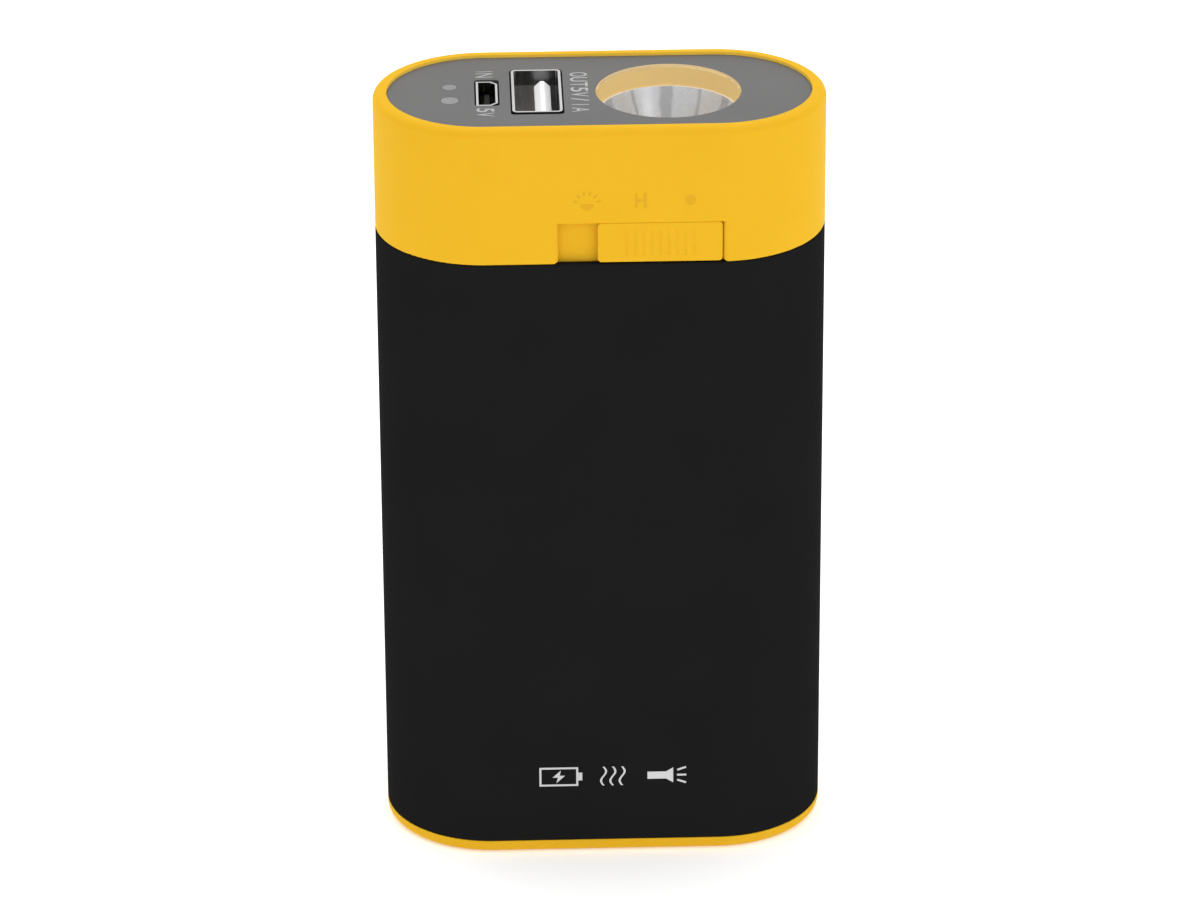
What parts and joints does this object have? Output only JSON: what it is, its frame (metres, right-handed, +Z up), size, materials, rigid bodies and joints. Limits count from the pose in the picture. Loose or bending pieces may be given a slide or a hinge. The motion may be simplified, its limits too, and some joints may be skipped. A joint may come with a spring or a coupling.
{
  "type": "power bank with hand warmer and torch",
  "caption": "Pocket power bank: yellow head and base on a black oval-ended tube, with charging sockets, a torch and a slide switch for torch or hand warmer.",
  "frame": {"origin": "middle of the base cap's underside, on the surface the object stands on", "axes": "+Z up through the head, +X across the width towards the torch, -Y out of the front, where the slide switch is"},
  "size_m": [0.052, 0.0254, 0.0925],
  "materials": {
    "yellow_plastic": "satin moulded ABS",
    "black_aluminium": "black anodised, matt",
    "grey_panel": "fine matt polycarbonate overlay",
    "adhesive_film": "transparent acrylic adhesive",
    "clear_window": "clear polished polycarbonate",
    "plated_reflector": "vacuum-metallised inside",
    "white_plastic": "white moulded nylon",
    "led_board": "white solder mask on aluminium",
    "led_dome": "clear silicone over yellow phosphor",
    "nickel_steel": "nickel-plated sheet",
    "gilt_contacts": "gilt bronze",
    "frosted_light_pipe": "frosted translucent acrylic",
    "black_plastic": "moulded nylon",
    "black_rubber": "moulded rubber ring",
    "circuit_board": "green solder mask",
    "ferrite": "pressed ferrite",
    "chip_resin": "moulded epoxy",
    "capacitor_ceramic": "ceramic with tinned ends",
    "screw_steel": "zinc-plated steel",
    "cell_steel": "nickel-plated steel can",
    "cell_winding": "wound foil and separator",
    "cell_wrap": "shrunk sleeve",
    "paper_ring": "insulating paper",
    "heater_film": "polyimide film with an etched track",
    "insulation_sheet": "glass-fibre sheet",
    "yellow_lead": "silicone-covered wire",
    "red_lead": "silicone-covered wire",
    "black_lead": "silicone-covered wire"
  },
  "bodies": {
    "housing": {"base_cap": "yellow_plastic", "base_screws": "screw_steel", "battery_lead_negative": "black_lead", "battery_lead_positive": "red_lead", "body_tube": "black_aluminium", "capacitors": "capacitor_ceramic", "cell_can_left": "cell_steel", "cell_can_right": "cell_steel", "cell_chassis": "black_plastic", "cell_core_left": "cell_winding", "cell_core_right": "cell_winding", "cell_insulators": "paper_ring", "cell_wrap_left": "cell_wrap", "cell_wrap_right": "cell_wrap", "charge_light_pipe": "frosted_light_pipe", "control_chips": "chip_resin", "head_screws": "screw_steel", "head_shell": "yellow_plastic", "heater_film_back": "heater_film", "heater_film_front": "heater_film", "heater_leads_back": "yellow_lead", "heater_leads_front": "yellow_lead", "in_socket_contacts": "gilt_contacts", "in_socket_insulator": "black_plastic", "in_socket_shell": "nickel_steel", "indicator_lamps": "white_plastic", "insulation_sheet_back": "insulation_sheet", "insulation_sheet_front": "insulation_sheet", "main_board": "circuit_board", "negative_tab": "nickel_steel", "out_socket_contacts": "gilt_contacts", "out_socket_insulator": "white_plastic", "out_socket_shell": "nickel_steel", "panel_adhesive": "adhesive_film", "positive_tab": "nickel_steel", "power_coil": "ferrite", "power_light_pipe": "frosted_light_pipe", "reflector_spacer": "white_plastic", "resistors": "chip_resin", "socket_seals": "black_rubber", "switch_base": "black_plastic", "switch_frame": "nickel_steel", "switch_pins": "nickel_steel", "thermal_cutout": "black_plastic", "top_panel": "grey_panel", "torch_led": "white_plastic", "torch_led_board": "led_board", "torch_led_dome": "led_dome", "torch_lens": "clear_window", "torch_reflector": "plated_reflector"},
    "slider": {"slider_knob": "yellow_plastic", "switch_lever": "black_plastic", "switch_bridge": "gilt_contacts"}
  },
  "joints": [
    {"name": "switch_slide", "type": "slide", "parent": "housing", "child": "slider", "axis": [-1, 0, 0], "range_m": [0, 0.0044]}
  ]
}
